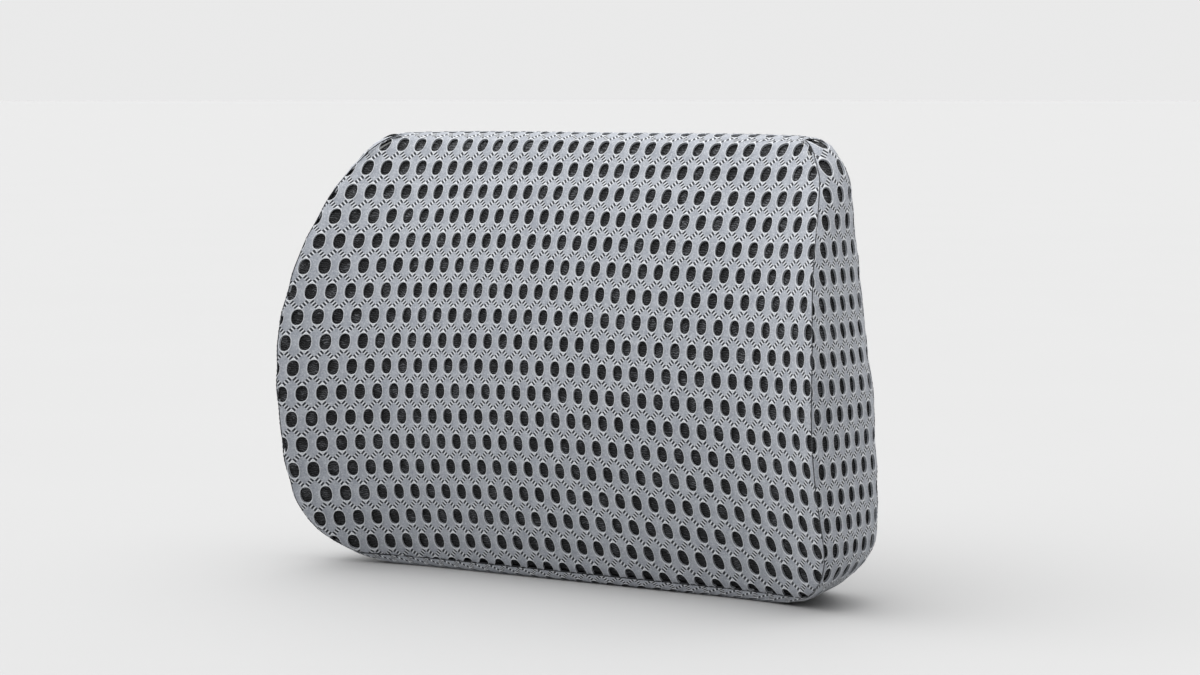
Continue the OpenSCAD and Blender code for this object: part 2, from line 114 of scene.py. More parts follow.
def back_x(z):
    """Half width at the back seam, fuller at the waist and the top, rounder at the foot."""
    waist = FULLER * smooth((z - WAIST_LOW) / WAIST_RISE) * smooth((WAIST_HIGH - z) / WAIST_FALL)
    shoulder = FULLER * smooth((z - SHOULDER_Z) / SHOULDER_SPAN)
    return side_x(z) + waist + shoulder - ROUNDER * smooth(1 - z / FOOT_Z)


def wing(z):
    return WING_DEPTH - WING_FADE * (2 * z / H - 1) ** 2 + DEEPER * toward_top(z)


def front_base(x, z):
    curve = (z - BELLY_Z) ** 2 / (2 * np.where(z > BELLY_Z, UPPER_R, LOWER_R))
    return curve - wing(z) * clip((np.abs(x) - WING_START) / (W - WING_START)) ** 2


def back_edge(z):
    q = 2 * z / H - 1
    return EDGE_DEPTH - EDGE_TILT * q + EDGE_FLARE * q * q


def back_middle(z):
    return BACK - LEAN * np.maximum(0, (z - LEAN_Z) / (H - LEAN_Z)) ** 2


def back_base(x, z):
    middle = back_middle(z)
    edge = np.minimum(back_edge(z), middle - EDGE_DROP)
    t = clip((np.abs(x) - FLAT_X) / (back_x(z) - FLAT_X))
    return middle + (edge - middle) * t ** BACK_POWER


# s is the height on the front or back, and runs on over the rounded top edge
ROLL_Z = H - TOP_ROLL
ARC = TOP_ROLL * math.pi / 2
TOP_FLAT = 14.0
CREST_RISE, CREST_RUN = 2.5, 6
S_CREST = ROLL_Z + ARC + TOP_FLAT / 2
S_END = ROLL_Z + 2 * ARC + TOP_FLAT + (ROLL_Z - WRAP_Z)


def top_roll(fx, bx, z):
    """Radius of the rounded top edge: less where the cushion is thin, at the upper corners."""
    return np.clip((back_base(bx, z) - front_base(fx, z)) / 2 - 1.5, 0.5, TOP_ROLL)


def front_point(u, s):
    """The front panel: up the front, over the top and a little way down the back."""
    over = np.clip((s - ROLL_Z) / TOP_ROLL, 0, math.pi / 2)
    back_over = np.clip((ROLL_Z + 2 * ARC + TOP_FLAT - s) / TOP_ROLL, 0, math.pi / 2)
    on_back = s > S_CREST
    z_front = np.where(s < ROLL_Z, s, ROLL_Z + TOP_ROLL * np.sin(over))
    down = np.maximum(0, s - (ROLL_Z + 2 * ARC + TOP_FLAT))
    z = np.where(on_back, ROLL_Z + TOP_ROLL * np.sin(back_over) - down, z_front)
    fx, bx = u * front_x(z), u * back_x(z)
    roll = top_roll(fx, bx, z)
    front = front_base(fx, z) + roll * (1 - np.cos(over)) + quarter(FRONT_ROLL, 1 - z / FRONT_ROLL)
    back = back_base(bx, z) - roll * (1 - np.cos(back_over))
    t = clip((s - ROLL_Z - ARC) / TOP_FLAT)
    crest = (t > 0) & (t < 1)
    top = H + 0 * z
    fx_top, bx_top = u * front_x(top), u * back_x(top)
    roll_top = top_roll(fx_top, bx_top, top)
    y_top = (front_base(fx_top, top) + roll_top) * (1 - t) + (back_base(bx_top, top) - roll_top) * t
    x = np.where(crest, fx_top * (1 - t) + bx_top * t, np.where(on_back, bx, fx))
    y = np.where(crest, y_top, np.where(on_back, back, front))
    bump = np.sin(math.pi * clip((s - ROLL_Z - ARC + CREST_RUN) / (TOP_FLAT + 2 * CREST_RUN))) ** 2
    z = z + CREST_RISE * bump * (1 - u ** 6)
    return x, y, z


def back_point(u, z):
    fx, x = u * front_x(z), u * back_x(z)
    top = top_roll(fx, x, z) * quarter(1.0, (z - ROLL_Z) / TOP_ROLL)
    return x, back_base(x, z) - top - quarter(BACK_ROLL, 1 - z / BACK_ROLL), z


def side_edge(z):
    """Front and back edges of a side panel at a height: two (x, y) pairs."""
    fx, bx = front_x(z), back_x(z)
    top = top_roll(fx, bx, z) * quarter(1.0, (z - ROLL_Z) / TOP_ROLL)
    return (fx, front_base(fx, z) + top + quarter(FRONT_ROLL, 1 - z / FRONT_ROLL),
            bx, back_base(bx, z) - top - quarter(BACK_ROLL, 1 - z / BACK_ROLL))


BULGE, BULGE_WIDTH, BULGE_POWER, BULGE_Z = 2.6, 40, 0.85, 30


def side_point(v, z):
    """A side panel: straight across from seam to seam, and bulging a little where it is wide."""
    fx, front, bx, back = side_edge(z)
    width = clip((back - front) / BULGE_WIDTH)
    bulge = BULGE * width * np.sin(math.pi * v ** BULGE_POWER) * clip(z / BULGE_Z)
    return fx + (bx - fx) * v + bulge, front + (back - front) * v, z


class Surface:
    """A grid of points over two coordinates, with its normals, read at any place."""

    def __init__(self, function, a, b, flip=1, blur=0.0):
        self.a, self.b, self.flip = a, b, flip
        ga, gb = np.meshgrid(a, b, indexing="ij")
        self.points = np.stack(np.broadcast_arrays(*function(ga, gb)), -1).astype(float)
        if blur:
            self.blur_rows(blur)
        self.refresh()

    def blur_rows(self, sigma):
        step = self.b[1] - self.b[0]
        half = int(3 * sigma / step)
        kernel = np.exp(-0.5 * (np.arange(-half, half + 1) * step / sigma) ** 2)
        kernel /= kernel.sum()
        ends = np.concatenate([2 * self.points[:, :1] - self.points[:, half:0:-1], self.points,
                               2 * self.points[:, -1:] - self.points[:, -2:-half - 2:-1]], 1)
        rows = self.points.shape[1]
        self.points = sum(k * ends[:, i:i + rows] for i, k in enumerate(kernel))

    def refresh(self):
        da = np.gradient(self.points, axis=0)
        db = np.gradient(self.points, axis=1)
        n = np.cross(da, db) * self.flip
        self.normals = n / np.maximum(np.linalg.norm(n, axis=-1, keepdims=True), 1e-9)

    def read(self, grid, a, b):
        i = np.clip((a - self.a[0]) / (self.a[1] - self.a[0]), 0, len(self.a) - 1.001)
        j = np.clip((b - self.b[0]) / (self.b[1] - self.b[0]), 0, len(self.b) - 1.001)
        i0, j0 = i.astype(int), j.astype(int)
        fi, fj = (i - i0)[..., None], (j - j0)[..., None]
        return ((grid[i0, j0] * (1 - fi) + grid[i0 + 1, j0] * fi) * (1 - fj)
                + (grid[i0, j0 + 1] * (1 - fi) + grid[i0 + 1, j0 + 1] * fi) * fj)

    def at(self, a, b, lift=0.0):
        p = self.read(self.points, a, b)
        n = self.read(self.normals, a, b)
        n /= np.maximum(np.linalg.norm(n, axis=-1, keepdims=True), 1e-9)
        return p + n * (lift[..., None] if np.ndim(lift) else lift)


us = np.linspace(-1, 1, 165)
vs = np.linspace(0, 1, 41)
front_s = np.arange(SEAM_Z, S_END + 0.1, 2.0)
upper_z = np.linspace(ZIP_Z + ZIP_GAP, WRAP_Z, 117)
lower_z = np.linspace(SEAM_Z, ZIP_Z - ZIP_GAP, 16)
side_z = np.linspace(0.5, H, 148)
surfaces = {
    "front": Surface(front_point, us, front_s, 1, 3.0),
    "back_upper": Surface(back_point, us, upper_z, -1),
    "back_lower": Surface(back_point, us, lower_z, -1),
    "right": Surface(side_point, vs, side_z, 1),
    "left": Surface(lambda v, z: (-side_point(v, z)[0], *side_point(v, z)[1:]), vs, side_z, -1),
}


# Each roll takes a sixth of the bottom panel's run, and the panel crosses between them
ROLL_PART, CROSS_START = 6, 0.99


def bottom_point(u, t):
    """The bottom panel: down the front roll, along the flat strip and up the back roll."""
    rolls = [1 - np.sin(math.pi * clip(way * ROLL_PART) / 2) for way in (t, 1 - t)]
    z = np.minimum(SEAM_Z * sum(rolls), SEAM_Z)
    across = clip((t * ROLL_PART - CROSS_START) / (ROLL_PART - 2 * CROSS_START))
    x = u * (front_x(z) + (back_x(z) - front_x(z)) * across)
    front = front_base(x, z) + quarter(FRONT_ROLL, 1 - z / FRONT_ROLL)
    back = back_base(x, z) - quarter(BACK_ROLL, 1 - z / BACK_ROLL)
    return x, front + (back - front) * across, z


surfaces["bottom"] = Surface(bottom_point, us, np.linspace(0, 1, 61), -1)
surfaces["back"] = Surface(back_point, us, np.linspace(SEAM_Z, WRAP_Z, 138), -1)

# --- puffing: the body is blown up slightly as cloth, and the panels take its shape ---
INSET = 2.5
PUFF_FRAMES, PUFF_CAP = 20, 4.0
PUFF_LEAST, PUFF_MOST, PUFF_FADE = -1.0, 2.5, 25.0
RAY = 0.02
RING = 61
# How far the last rings of the body lie under its top
LAST_RINGS = np.array([10, 7, 4.5, 2.5, 1.0])
BODY_MIDDLE, BODY_HALF = np.array([0.0, 65.0]), np.array([W, 30.0])


def body_mesh(inset):
    """Points and faces of the closed body, drawn in by inset."""
    rings = []
    flat = np.linspace(-1, 1, RING)
    for z in np.concatenate([np.linspace(1, H - 14, 50), H - LAST_RINGS]):
        s = z if z < ROLL_Z else ROLL_Z + TOP_ROLL * math.asin((z - ROLL_Z) / TOP_ROLL)
        x, y, _ = front_point(flat, np.full(RING, float(s)))
        bx, by, _ = back_point(flat[::-1], np.full(RING, float(z)))
        ring = np.concatenate([np.stack([x, y], -1), np.stack([bx, by], -1)])
        ring = BODY_MIDDLE + (ring - BODY_MIDDLE) * (1 - inset / BODY_HALF)
        low, high = inset, H - inset
        rings.append([(px, py, low + (high - low) * z / H) for px, py in ring])
    n = len(rings[0])
    faces = [(k * n + i, k * n + (i + 1) % n, (k + 1) * n + (i + 1) % n, (k + 1) * n + i)
             for k in range(len(rings) - 1) for i in range(n)]
    faces += [tuple(range(n - 1, -1, -1)), tuple((len(rings) - 1) * n + i for i in range(n))]
    return [p for ring in rings for p in ring], faces


def puffed_body():
    """A cloth simulation of the whole cover, inset a little, under slight pressure."""
    verts, faces = body_mesh(INSET)
    mesh = bpy.data.meshes.new("puff")
    mesh.from_pydata([tuple(c * MM for c in p) for p in verts], [], faces)
    body = bpy.data.objects.new("puff", mesh)
    bpy.context.collection.objects.link(body)
    remesh = body.modifiers.new("remesh", "REMESH")
    remesh.mode = "VOXEL"
    remesh.voxel_size = 0.006
    depsgraph = bpy.context.evaluated_depsgraph_get()
    body.data = bpy.data.meshes.new_from_object(body.evaluated_get(depsgraph))
    body.modifiers.clear()
    before = np.array([v.co for v in body.data.vertices])
    cloth = body.modifiers.new("cloth", "CLOTH")
    cloth.settings.use_pressure = True
    cloth.settings.uniform_pressure_force = 4.0
    cloth.settings.effector_weights.gravity = 0
    cloth.settings.quality = 4
    cloth.settings.tension_stiffness = 30
    cloth.settings.bending_stiffness = 2
    cloth.point_cache.frame_start, cloth.point_cache.frame_end = 1, PUFF_FRAMES
    scene = bpy.context.scene
    for f in range(1, PUFF_FRAMES + 1):
        scene.frame_set(f)
    depsgraph = bpy.context.evaluated_depsgraph_get()
    after = np.array([v.co for v in body.evaluated_get(depsgraph).data.vertices])
    scene.frame_set(1)
    polygons = [tuple(p.vertices) for p in body.data.polygons]
    bpy.data.objects.remove(body)
    move = after - before
    size = np.linalg.norm(move, axis=1, keepdims=True)
    move *= np.minimum(1, PUFF_CAP * MM / np.maximum(size, 1e-9))
    return BVHTree.FromPolygons([Vector(p) for p in (before + move)], polygons), float(size.mean() / MM)


def take_puff(surface, tree, skip=4):
    """How far out the puffed body lies from each point of a surface, smoothed and limited."""
    rows, cols = surface.points.shape[:2]
    lift = np.zeros((rows, cols))
    for i in range(0, rows, skip):
        for j in range(0, cols, skip):
            p, n = Vector(surface.points[i, j] * MM), Vector(surface.normals[i, j])
            hit = tree.ray_cast(p + n * RAY, -n, 2 * RAY)
            lift[i, j] = 0.0 if hit[0] is None else (RAY - hit[3]) / MM
    ii, jj = np.arange(0, rows, skip), np.arange(0, cols, skip)
    coarse = lift[np.ix_(ii, jj)]
    for _ in range(2):
        pad = np.pad(coarse, 1, mode="edge")
        coarse = (pad[1:-1, 1:-1] * 2 + pad[:-2, 1:-1] + pad[2:, 1:-1] + pad[1:-1, :-2] + pad[1:-1, 2:]) / 6
    along = np.array([np.interp(np.arange(cols), jj, row) for row in coarse])
    full = np.array([np.interp(np.arange(rows), ii, along[:, j]) for j in range(cols)]).T
    return np.clip(full, PUFF_LEAST, PUFF_MOST)


def crease(d, depth, width):
    return -depth * np.exp(-(np.maximum(d, 0) / width) ** 1.5)


# Waves along a seam: size, length and shift of each
PUCKERS = ((1, 7.3, 1), (0.7, 4.1, 2.3), (0.5, 12.7, -1))
PUCKER, PUCKER_FADE = 0.33, 9.0


def pucker(along, d, seed):
    """Slight waves that run out of a seam."""
    wave = sum(size * np.sin(along / length + shift * seed) for size, length, shift in PUCKERS)
    return PUCKER * wave * np.exp(-np.maximum(d, 0) / PUCKER_FADE)


puff_tree = None
puff_tree, moved = puffed_body()
print("puffed body moved on average %.2f mm" % moved)


def unit(v):
    return v / np.maximum(np.linalg.norm(v, axis=-1, keepdims=True), 1e-9)


TURN_BELOW, TURN_SPAN, CORNER_UP = 14, 10, 0.5


def outward(side, z, normals):
    """A panel's edge normals, with a plain direction where the corners turn over the top."""
    over = clip((z - ROLL_Z + TURN_BELOW) / TURN_SPAN)[:, None]
    return unit(normals * (1 - over) + np.array([side, 0.0, CORNER_UP]) * over)


def seam_directions(name, s):
    """Outward directions along a panel's two upright edges, halfway to the next panel's."""
    if name in ("left", "right"):
        side = 1.0 if name == "right" else -1.0
        u = np.full(len(s.b), side)
        on_front = np.where(s.b < ROLL_Z, s.b, ROLL_Z + TOP_ROLL * np.arcsin(clip((s.b - ROLL_Z) / TOP_ROLL)))
        front, back = surfaces["front"], surfaces["back"]
        return (outward(side, s.b, unit(s.normals[0] + front.read(front.normals, u, on_front))),
                outward(side, s.b, unit(s.normals[-1] + back.read(back.normals, u, s.b))))
    if name == "bottom":
        return s.normals[0], s.normals[-1]
    v = np.where(s.b > S_CREST, 1.0, 0.0) if name == "front" else np.ones(len(s.b))
    z = s.points[-1, :, 2]
    left, right = (surfaces[k].read(surfaces[k].normals, v, z) for k in ("left", "right"))
    return outward(-1.0, z, unit(s.normals[0] + left)), outward(1.0, z, unit(s.normals[-1] + right))


CREASE, CREASE_W = 1.3, 3.0
EDGE_ROLL, EDGE_W = 1.3, 10.0
END_CREASE, BOTTOM_RUN = 0.9, 90.0
SHARED_W = 2.5
meeting = {name: seam_directions(name, s) for name, s in surfaces.items()}
for name, s in surfaces.items():
    ga, gb = np.meshgrid(s.a, s.b, indexing="ij")
    low, high = meeting[name]
    if name in ("left", "right"):
        width = np.linalg.norm(s.points[-1] - s.points[0], axis=-1)[None, :]
        d = np.minimum(ga, 1 - ga) * width
        m = np.where((ga < 0.5)[..., None], low[None], high[None])
        seed = np.where(ga < 0.5, 1.0, 2.0) + (3.0 if name == "left" else 0.0)
    else:
        d = (1 - np.abs(ga)) * np.abs(s.points[..., 0]).max(axis=0)[None, :]
        m = np.where((ga < 0)[..., None], low[None], high[None])
        on_back = gb > S_CREST if name == "front" else np.full(gb.shape, True)
        seed = np.where(on_back, 2.0, 1.0) + np.where(ga < 0, 3.0, 0.0)
    lift = crease(d, CREASE, CREASE_W) + crease(d, EDGE_ROLL, EDGE_W) + pucker(s.points[..., 2], d, seed)
    s.points = s.points + m * lift[..., None]
    if name not in ("left", "right"):
        scale = BOTTOM_RUN if name == "bottom" else 1.0
        ends = np.minimum(gb - s.b[0], s.b[-1] - gb) * scale
        lift = crease(ends, END_CREASE, CREASE_W) if name != "back" else 0.0 * ends
    else:
        lift = 0.0 * d
    if puff_tree is not None and name in ("front", "left", "right"):
        lift = lift + take_puff(s, puff_tree) * clip(d / PUFF_FADE)
    s.points = s.points + s.normals * lift[..., None]
    s.refresh()
    near = np.exp(-d / SHARED_W)[..., None]
    s.normals = unit(s.normals * (1 - near) + m * near)

# --- mesh helpers ---


def add_object(name, points, faces, uv=None):
    """points in millimetres in the shape's frame; faces as index rows; uv one pair per point."""
    mesh = bpy.data.meshes.new(name)
    co = np.asarray(points, float) * MM
    co[:, 1] -= DEPTH_SHIFT
    co[:, 2] = np.maximum(co[:, 2], 0.0)  # flat where it rests on the floor
    mesh.from_pydata(co.tolist(), [], [tuple(int(i) for i in f) for f in faces])
    if uv is not None:
        layer = mesh.uv_layers.new(name="fabric")
        index = np.empty(len(mesh.loops), np.int32)
        mesh.loops.foreach_get("vertex_index", index)
        layer.data.foreach_set("uv", np.asarray(uv, np.float32)[index].ravel())
    mesh.polygons.foreach_set("use_smooth", np.full(len(mesh.polygons), True))
    mesh.update()
    obj = bpy.data.objects.new(name, mesh)
    bpy.context.collection.objects.link(obj)
    return obj


# Half the hole pitch and the row pitch of the mesh, and the radii of a hole, in mm
HALF_PITCH, ROW_PITCH = 6.15, 16.5
HOLE_A, HOLE_B = 3.75, 5.2
SQUARE = 2.3
# Slits in each line between two holes, and half a slit's length
SLITS, SLIT_HALF = 4, 1.3
SIDES = 24
LEAST_AREA = 0.004


def cell_rings():
    """One cell of the mesh in lattice units: its outline, then rings in to the hole, with heights."""
    per = SIDES // 4
    edge = []
    for k in range(SIDES):
        side, t = divmod(k, per)
        f = t / per
        edge.append([(1, -0.5 + f), (1 - 2 * f, 0.5), (-1, 0.5 - f), (-1 + 2 * f, -0.5)][side])
    edge = np.array(edge)
    angle = np.arctan2(edge[:, 1] / 0.5, edge[:, 0])
    round_x, round_y = (np.sign(w) * np.abs(w) ** (2 / SQUARE) for w in (np.cos(angle), np.sin(angle)))
    hole = np.stack([HOLE_A / HALF_PITCH * round_x, HOLE_B / ROW_PITCH * round_y], 1)
    rings = [(edge, 0.0), (0.5 * edge + 0.6 * hole, 0.06), (1.17 * hole, 0.12), (1.08 * hole, 0.42),
             (1.0 * hole, 0.18), (0.97 * hole, -0.5), (1.02 * hole, -1.3)]
    return rings


RINGS = cell_rings()


def holed_panel(name, surface, lattice, inside, cols, rows):
    """A panel of mesh cloth. lattice maps (column, row) to (surface a, surface b), and
    inside says which cells have any part on the panel."""
    cells = [(c, r) for r in range(rows[0], rows[1] + 1) for c in range(cols[0], cols[1] + 1)
             if (c + r) % 2 == 0 and inside(c, r)]
    centre = np.array(cells, float)
    lat, height, faces = [], [], []
    n_cells = len(cells)
    for ring, h in RINGS:
        lat.append(centre[:, None, :] + ring[None, :, :])
        height.append(np.full((n_cells, SIDES), h))
    lat = np.stack(lat, 1)
    height = np.stack(height, 1)
    index = np.arange(n_cells * len(RINGS) * SIDES).reshape(n_cells, len(RINGS), SIDES)
    # neighbouring cells share the points of their outlines
    outline = lat[:, 0].reshape(-1, 2)
    keys = np.round(outline * 12).astype(int)
    _, first, inverse = np.unique(keys, axis=0, return_index=True, return_inverse=True)
    outline_index = index[:, 0].reshape(-1)
    index[:, 0] = outline_index[first[inverse.reshape(-1)]].reshape(n_cells, SIDES)
    nxt = np.roll(index, -1, axis=2)
    for k in range(len(RINGS) - 1):
        faces.append(np.stack([index[:, k], nxt[:, k], nxt[:, k + 1], index[:, k + 1]], -1).reshape(-1, 4))
    faces = np.concatenate(faces)
    flat = lat.reshape(-1, 2)
    a, b = lattice(flat[:, 0], flat[:, 1])
    a_in = np.clip(a, surface.a[0], surface.a[-1])
    b_in = np.clip(b, surface.b[0], surface.b[-1])
    points = surface.at(a_in, b_in, height.reshape(-1))
    # drop what fell wholly onto the panel's edge
    p = points[faces]
    area = np.linalg.norm(np.cross(p[:, 2] - p[:, 0], p[:, 3] - p[:, 1]), axis=1)
    outside = (np.abs(a - a_in) > 1e-9) | (np.abs(b - b_in) > 1e-9)
    faces = faces[(area > LEAST_AREA) & ~outside[faces].all(axis=1)]
    if surface.flip < 0:
        faces = faces[:, ::-1]
    used, compact = np.unique(faces, return_inverse=True)
    return add_object(name, points[used], compact.reshape(-1, 4), flat[used])


def grid_panel(name, surface, lift, step=2):
    """A plain sheet that follows a surface; uv in millimetres."""
    ia = np.unique(np.append(np.arange(0, len(surface.a), step), len(surface.a) - 1))
    ib = np.unique(np.append(np.arange(0, len(surface.b), step), len(surface.b) - 1))
    points = (surface.points + surface.normals * lift)[np.ix_(ia, ib)]
    na, nb = len(ia), len(ib)
    k = np.arange(na * nb).reshape(na, nb)
    faces = np.stack([k[:-1, :-1], k[1:, :-1], k[1:, 1:], k[:-1, 1:]], -1).reshape(-1, 4)
    if surface.flip < 0:
        faces = faces[:, ::-1]
    flat = points.reshape(-1, 3)
    along = np.cumsum(np.linalg.norm(np.diff(points, axis=0, prepend=points[:1]), axis=-1), axis=0)
    uv = np.stack([along.reshape(-1), flat[:, 2]], 1)
    return add_object(name, flat, faces, uv)


# --- where the mesh's rows and columns lie ---
# Front rows and columns: where they start, and how they spread, fan out and bow, in mm
START_X, START_Z, COLUMN, ROW, FAR_COLUMN = 10.0, 160.6, 5.9, 16.35, 30.0
SPREAD, FAN, WAIST, TOP_FAN, TOP_LEAN = 6.0, 0.75, 0.12, 0.05, 0.03
ROW_SHRINK, BOW, BOW_GROWTH, TILT, TWIST, END_LIFT = 0.07, 5.6, 0.54, 0.25, 3.2, 2.8


# Side rows and columns: where they start, the row pitches, and the slant of the columns
SIDE_Z, SIDE_ROW_UP, SIDE_ROW_DOWN = 160.5, 16.5, 17.0
SIDE_START, SIDE_SLANT, SIDE_FOOT, FOOT_ROW = 45.5, 7.3, 0.8, 4
BACK_Z, BOTTOM_Z, BOTTOM_FLAT = 150.0, 3.0, 88.0


def front_lattice(c, r):
    """Columns spread towards the wings, and rows bow down a little at the two ends."""
    t = c / FAR_COLUMN
    x = (START_X + COLUMN * c + SPREAD * t ** 3 + FAN * r * t + WAIST * t * r * r
         + (TOP_FAN * np.maximum(t, 0) ** 3 - TOP_LEAN) * np.minimum(r, 0) ** 2)
    s = (START_Z - ROW * r - ROW_SHRINK * r * r - (BOW + BOW_GROWTH * r) * t ** 2 + TILT * r * t
         + TWIST * t ** 3 + END_LIFT * t ** 4)
    past = S_CREST + TOP_ROLL
    z = np.where(s < H, s, np.where(s < past, H, H - (s - past)))
    z = np.clip(z, 0, H)
    return x / np.where(s > S_CREST, back_x(z), front_x(z)), s


def back_lattice(c, r):
    z = BACK_Z - ROW_PITCH * r
    return -HALF_PITCH * c / back_x(np.clip(z, 0, H)), z


def side_lattice(c, r):
    """The side panels' cloth is sewn in on a slant, more so towards the top."""
    z = SIDE_Z - np.where(r < 0, SIDE_ROW_UP, SIDE_ROW_DOWN) * r
    slant = SIDE_START - SIDE_SLANT * np.log1p(np.exp(1 - r)) - SIDE_FOOT * np.maximum(0, r - FOOT_ROW)
    a = HALF_PITCH * c + slant
    _, front, _, back = side_edge(np.clip(z, 0.5, H - 0.5))
    return a / (back - front), z


def bottom_lattice(c, r):
    return HALF_PITCH * c / side_x(np.full(np.shape(c), BOTTOM_Z)), 0.5 - r * ROW_PITCH / BOTTOM_FLAT


def cell_test(lattice, surface):
    def inside(c, r):
        a, b = lattice(np.array([c - 1.0, c, c + 1.0, c - 1.0, c + 1.0]),
                       np.array([r - 0.5, r, r - 0.5, r + 0.5, r + 0.5]))
        return bool(((a > surface.a[0]) & (a < surface.a[-1])).any()
                    and ((b > surface.b[0]) & (b < surface.b[-1])).any())
    return inside


def mesh_panel(name, key, lattice, cols, rows):
    s = surfaces[key]
    return holed_panel(name, s, lattice, cell_test(lattice, s), cols, rows)


cover = {
    "cover_front": mesh_panel("front_mesh", "front", front_lattice, (-40, 40), (-13, 11)),
    "cover_side_right": mesh_panel("side_mesh_right", "right", side_lattice, (-14, 16), (-9, 11)),
    "cover_side_left": mesh_panel("side_mesh_left", "left", side_lattice, (-14, 16), (-9, 11)),
    "cover_back_upper": mesh_panel("back_mesh_upper", "back_upper", back_lattice, (-36, 36), (-9, 8)),
    "cover_back_lower": mesh_panel("back_mesh_lower", "back_lower", back_lattice, (-36, 36), (5, 10)),
    "cover_bottom": mesh_panel("bottom_mesh", "bottom", bottom_lattice, (-32, 32), (-4, 4)),
}
BACKING, LINER_FRONT, LINER_BACK, FOAM_INSET = -1.9, -3.3, -3.4, 10.0
backing = [grid_panel(cover["cover_" + part].name + "_backing", surfaces[part.replace("side_", "")], BACKING)
           for part in ("front", "side_right", "side_left", "back_upper", "back_lower", "bottom")]

for node, obj in cover.items():
    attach(obj, "cushion")
    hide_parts(node)
for obj in backing:
    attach(obj, "cushion")

# --- liner and foam under the cover ---


def body_piece(obj, node):
    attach(obj, "cushion")
    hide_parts(node)
    return obj


liner_front = body_piece(grid_panel("liner_front_cloth", surfaces["front"], LINER_FRONT, step=3),
                         "liner_front")
liner_back = body_piece(grid_panel("liner_back_cloth", surfaces["back"], LINER_BACK, step=3),
                        "liner_back")
foam_points, foam_faces = body_mesh(FOAM_INSET)
foam = body_piece(add_object("foam_block", foam_points, foam_faces), "foam_core")

# --- seams ---


def resample(path, step):
    """Points at even steps along a path, smoothly."""
    path = np.asarray(path, float)
    length = np.concatenate([[0], np.cumsum(np.linalg.norm(np.diff(path, axis=0), axis=1))])
    at = np.linspace(0, length[-1], max(2, int(length[-1] / step) + 1))
    return np.stack([np.interp(at, length, path[:, k]) for k in range(3)], 1)


def frames(path):
    t = np.gradient(path, axis=0)
    t /= np.maximum(np.linalg.norm(t, axis=1, keepdims=True), 1e-9)
    guide = np.where(np.abs(t[:, 1:2]) > 0.9, [[0, 0, 1.0]], [[0, 1.0, 0]])
    a = np.cross(guide, t)
    a /= np.maximum(np.linalg.norm(a, axis=1, keepdims=True), 1e-9)
    return a, np.cross(t, a)


class Soup:
    """Gathers many small closed tubes into one mesh."""

    def __init__(self):
        self.points, self.faces, self.count = [], [], 0

    def tube(self, path, radius, sides=6):
        path = np.asarray(path, float)
        radius = np.broadcast_to(radius, len(path))
        a, b = frames(path)
        angles = np.arange(sides) * 2 * math.pi / sides
        ring = (path[:, None] + radius[:, None, None] * (np.cos(angles)[None, :, None] * a[:, None]
                + np.sin(angles)[None, :, None] * b[:, None]))
        n, first = len(path), self.count
        k = first + np.arange(n * sides).reshape(n, sides)
        nxt = np.roll(k, -1, axis=1)
        self.faces += np.stack([k[:-1], nxt[:-1], nxt[1:], k[1:]], -1).reshape(-1, 4).tolist()
        self.faces += [k[0, ::-1].tolist(), k[-1].tolist()]
        self.points.append(ring.reshape(-1, 3))
        self.count += n * sides

    def stitches(self, path, pitch, length, radius):
        """A row of short stitches that dip in at both ends."""
        line = resample(path, pitch)
        for i in range(len(line) - 1):
            d = (line[i + 1] - line[i]) / np.linalg.norm(line[i + 1] - line[i])
            jig = np.array([random.uniform(-0.12, 0.12) for _ in range(3)])
            mid = (line[i] + line[i + 1]) / 2 + jig
            at = np.array([-0.5, -0.3, 0, 0.3, 0.5])
            self.tube(mid + np.outer(at * length, d), radius * np.array([0.45, 0.85, 1, 0.85, 0.45]))

    def build(self, name):
        return add_object(name, np.concatenate(self.points), self.faces)


def edge_line(key, which, lift):
    s = surfaces[key]
    p = s.points + s.normals * lift
    return {"a0": p[0], "a1": p[-1], "b0": p[:, 0], "b1": p[:, -1]}[which]


def seam(soup, line, away):
    """A thread down in the groove, and the stitches that show over it."""
    line = resample(line, 2.0)
    soup.tube(line, 0.35, 8)
    soup.stitches(line + np.asarray(away) * 0.3, 3.3, 2.0, 0.24)


front_seam, back_seam = Soup(), Soup()
for side, key in ((-1, "left"), (1, "right")):
    seam(front_seam, edge_line("front", "a0" if side < 0 else "a1", -0.1), (0.5 * side, -0.7, 0))
    line = edge_line(key, "a1", -0.1)
    seam(back_seam, line[line[:, 2] < WRAP_Z], (0.7 * side, 0.5, 0))
seam(front_seam, edge_line("front", "b0", -0.2), (0, -0.7, -0.4))
seam(back_seam, edge_line("front", "b1", -0.2), (0, 1, 0))
seam(back_seam, edge_line("back_lower", "b0", -0.2), (0, 0.8, -0.5))
# topstitching along both sides of the zipper opening
for key, z in (("back_upper", ZIP_Z + ZIP_GAP + 2.4), ("back_lower", ZIP_Z - ZIP_GAP - 2.4)):
    u = np.linspace(-0.97, 0.97, 160)
    back_seam.stitches(surfaces[key].at(u, np.full(160, z), 0.25), 3.4, 2.5, 0.32)
seams = [body_piece(front_seam.build("front_seam"), "seam_thread_front"),
         body_piece(back_seam.build("back_seam"), "seam_thread_back")]

# --- zipper tapes ---


TAPE_END, TAPE_DEPTH, TAPE_LONG, TAPE_WIDE = 0.985, -1.15, 161, 7


